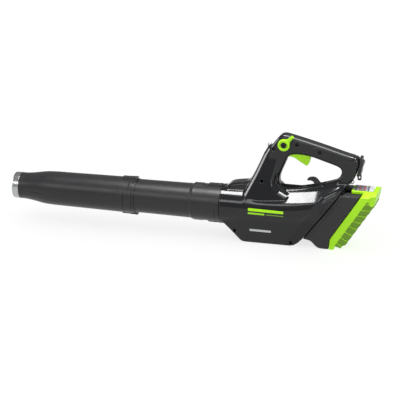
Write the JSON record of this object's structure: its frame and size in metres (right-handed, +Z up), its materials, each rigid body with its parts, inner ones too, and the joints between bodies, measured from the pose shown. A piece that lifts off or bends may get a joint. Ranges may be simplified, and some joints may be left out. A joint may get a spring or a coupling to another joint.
{
  "type": "leaf blower",
  "caption": "Cordless handheld axial leaf blower: tapered nozzle, extension tube, black clamshell body with loop handle, lime trigger and speed lever, slide-in battery pack.",
  "frame": {"origin": "middle of the bounding box in X and Y, on the floor the blower stands on", "axes": "+X towards the battery at the back (the nozzle points to -X), +Y towards the user's right, +Z up"},
  "size_m": [0.9404, 0.1098, 0.2804],
  "materials": {
    "gloss_black": "glossy moulded black",
    "satin_black": "satin moulded black, very fine grain",
    "matt_black": "matt moulded black",
    "lime": "satin-gloss lime green",
    "bright_steel": "brushed along the rim",
    "steel": "turned",
    "dark_steel": "blackened",
    "copper": "enamelled copper windings",
    "rubber": "matt black",
    "circuit_board": "green solder mask",
    "aluminium": "extruded",
    "cell_wrap": "blue shrink wrap",
    "label": "printed film with plain colour blocks, no lettering"
  },
  "bodies": {
    "base": {"left_housing": "gloss_black", "right_housing": "gloss_black", "housing_screw_1": "dark_steel", "housing_screw_2": "dark_steel", "housing_screw_3": "dark_steel", "housing_screw_4": "dark_steel", "housing_screw_5": "dark_steel", "housing_screw_6": "dark_steel", "housing_screw_7": "dark_steel", "intake_grille": "matt_black", "fan_duct": "matt_black", "stator_housing": "matt_black", "motor_stator": "copper", "front_bearing": "steel", "rear_bearing": "steel", "tail_cone": "matt_black", "controller_board": "circuit_board", "heat_sink": "aluminium", "speed_switch": "matt_black", "trigger_pin": "steel", "trigger_spring": "steel", "speed_sensor": "matt_black", "release_pin": "steel", "strap_bracket": "satin_black", "strap_loop_pin": "steel", "front_strap_eye": "bright_steel", "rear_strap_eye": "bright_steel", "battery_bay": "satin_black", "terminal_block": "matt_black"},
    "rotor": {"motor_shaft": "steel", "motor_rotor": "dark_steel", "impeller": "matt_black", "spinner": "matt_black", "impeller_nut": "steel"},
    "trigger": {"trigger": "lime"},
    "lever": {"speed_lever": "lime", "speed_lever_shaft": "dark_steel"},
    "release": {"release_lever": "satin_black"},
    "battery": {"battery_case": "satin_black", "battery_cap": "lime", "cell_pack": "cell_wrap", "battery_label": "label"},
    "tube_turn": {"tube_seal": "rubber"},
    "tube": {"extension_tube": "satin_black"},
    "nozzle_turn": {"nozzle_seal": "rubber"},
    "nozzle": {"nozzle": "satin_black", "nozzle_tip_ring": "bright_steel"},
    "loop": {"strap_loop": "satin_black"}
  },
  "joints": [
    {"name": "impeller_spin", "type": "hinge", "parent": "base", "child": "rotor", "pos_m": [0.20583, 0, 0.0805], "axis": [1, 0, 0], "continuous": true},
    {"name": "trigger_pull", "type": "hinge", "parent": "base", "child": "trigger", "pos_m": [0.24583, 0, 0.2325], "axis": [0, -1, 0], "range_deg": [0, 12], "stiffness_Nm_per_rad": 0.35, "springref_deg": -17.19, "deforming": ["trigger_spring"]},
    {"name": "speed_lever_turn", "type": "hinge", "parent": "base", "child": "lever", "pos_m": [0.23383, -0.022, 0.2529], "axis": [0, 1, 0], "range_deg": [0, 75]},
    {"name": "release_press", "type": "hinge", "parent": "base", "child": "release", "pos_m": [0.32783, 0, 0.1465], "axis": [0, -1, 0], "range_deg": [0, 3.2], "stiffness_Nm_per_rad": 0.6, "springref_deg": -8.59},
    {"name": "battery_slide", "type": "slide", "parent": "base", "child": "battery", "axis": [0.8387, 0, -0.5446], "range_m": [0, 0.06]},
    {"name": "tube_twist", "type": "hinge", "parent": "base", "child": "tube_turn", "pos_m": [0.05383, 0, 0.0805], "axis": [1, 0, 0], "range_deg": [0, 25]},
    {"name": "tube_pull", "type": "slide", "parent": "tube_turn", "child": "tube", "axis": [-1, 0, 0], "range_m": [0, 0.05]},
    {"name": "nozzle_twist", "type": "hinge", "parent": "tube", "child": "nozzle_turn", "pos_m": [-0.16817, 0, 0.0805], "axis": [1, 0, 0], "range_deg": [0, 25]},
    {"name": "nozzle_pull", "type": "slide", "parent": "nozzle_turn", "child": "nozzle", "axis": [-1, 0, 0], "range_m": [0, 0.05]},
    {"name": "strap_loop_swing", "type": "hinge", "parent": "base", "child": "loop", "pos_m": [0.42003, 0, 0.188], "axis": [0, -1, 0], "range_deg": [-18, 75]}
  ]
}
